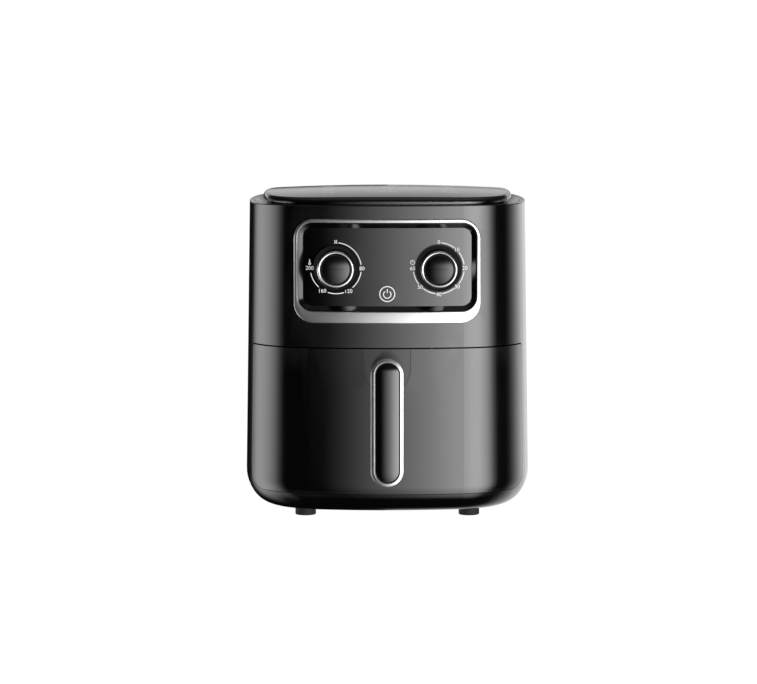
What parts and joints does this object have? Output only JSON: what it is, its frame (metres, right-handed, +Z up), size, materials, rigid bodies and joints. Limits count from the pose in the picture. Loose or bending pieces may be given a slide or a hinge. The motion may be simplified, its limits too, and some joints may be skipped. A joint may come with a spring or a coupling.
{
  "type": "air fryer",
  "caption": "Countertop air fryer with a pull-out pan drawer, lift-out crisper plate, framed control panel with two turn knobs, and a fan over a ring heater.",
  "frame": {"origin": "on the worktop, under the middle of the object's box", "axes": "+X to the right as seen from the front, +Y to the back, +Z up; the drawer opens towards -Y"},
  "size_m": [0.265, 0.348, 0.297],
  "materials": {
    "black_plastic": "satin black moulded plastic with a fine grain",
    "lid_plastic": "semi-gloss black moulded plastic",
    "gloss_black": "polished black plastic",
    "panel_plastic": "smooth satin black plastic with printed marks",
    "knob_plastic": "satin dark grey plastic",
    "inner_plastic": "plain natural plastic",
    "silver_trim": "satin silver coating",
    "chrome_ring": "polished chrome plating",
    "lens": "smoked translucent plastic",
    "nonstick": "dark non-stick coating",
    "cavity_steel": "aluminised sheet steel",
    "element_steel": "heat-darkened steel tube",
    "motor_steel": "turned and zinc-plated steel",
    "screw_steel": "zinc-plated steel",
    "bronze": "sintered bronze",
    "rubber": "soft black rubber",
    "silicone": "food-safe silicone"
  },
  "bodies": {
    "housing": {"housing": "black_plastic", "bottom_cover": "black_plastic", "foot_front_left": "rubber", "foot_front_right": "rubber", "foot_rear_left": "rubber", "foot_rear_right": "rubber", "bottom_screws": "screw_steel", "top_cover": "lid_plastic", "intake_ring": "black_plastic", "cavity_liner": "cavity_steel", "mouth_frame": "black_plastic", "drawer_rails": "cavity_steel", "reflector": "cavity_steel", "reflector_screws": "screw_steel", "heating_element": "element_steel", "terminal_bushes": "silicone", "element_guard": "screw_steel", "motor_body": "motor_steel", "motor_bracket": "cavity_steel", "motor_bushes": "bronze", "thermostat": "inner_plastic", "timer": "inner_plastic", "control_screws": "screw_steel", "panel_carrier": "inner_plastic", "trim_ring": "silver_trim", "panel_bezel": "gloss_black", "control_panel": "panel_plastic", "temperature_well": "gloss_black", "timer_well": "gloss_black", "lamp_lens": "lens", "lamp": "lens", "exhaust_duct": "cavity_steel", "rear_vent": "black_plastic", "cord_gland": "black_plastic", "door_switch": "inner_plastic"},
    "drawer": {"drawer_front": "black_plastic", "drawer_liner": "black_plastic", "pan": "nonstick", "pan_bracket": "cavity_steel", "handle_body": "black_plastic", "handle_trim": "silver_trim", "handle_insert": "panel_plastic", "handle_cover": "black_plastic", "handle_screws": "screw_steel", "front_screws": "screw_steel"},
    "crisper": {"crisper_plate": "nonstick", "crisper_feet": "silicone"},
    "temperature_dial": {"temperature_knob": "gloss_black", "temperature_knob_ring": "chrome_ring", "temperature_knob_cap": "knob_plastic", "thermostat_shaft": "motor_steel"},
    "timer_dial": {"timer_knob": "gloss_black", "timer_knob_ring": "chrome_ring", "timer_knob_cap": "knob_plastic", "timer_shaft": "motor_steel"},
    "fan_rotor": {"motor_shaft": "motor_steel", "fan_blade": "cavity_steel", "cooling_fan": "inner_plastic", "fan_nut": "screw_steel"},
    "switch_button": {"switch_plunger": "inner_plastic"}
  },
  "joints": [
    {"name": "drawer_slide", "type": "slide", "parent": "housing", "child": "drawer", "axis": [0, -1, 0], "range_m": [0, 0.27]},
    {"name": "crisper_lift", "type": "slide", "parent": "drawer", "child": "crisper", "axis": [0, 0, 1], "range_m": [0, 0.09]},
    {"name": "temperature_turn", "type": "hinge", "parent": "housing", "child": "temperature_dial", "pos_m": [-0.0464, -0.129, 0.2296], "axis": [0, 1, 0], "range_deg": [0, 270]},
    {"name": "timer_turn", "type": "hinge", "parent": "housing", "child": "timer_dial", "pos_m": [0.0464, -0.129, 0.2296], "axis": [0, 1, 0], "range_deg": [0, 270]},
    {"name": "fan_spin", "type": "hinge", "parent": "housing", "child": "fan_rotor", "pos_m": [0, 0.043, 0.2], "axis": [0, 0, 1], "continuous": true},
    {"name": "switch_press", "type": "slide", "parent": "housing", "child": "switch_button", "axis": [0, 0, 1], "range_m": [0, 0.0018], "stiffness_N_per_m": 150}
  ]
}
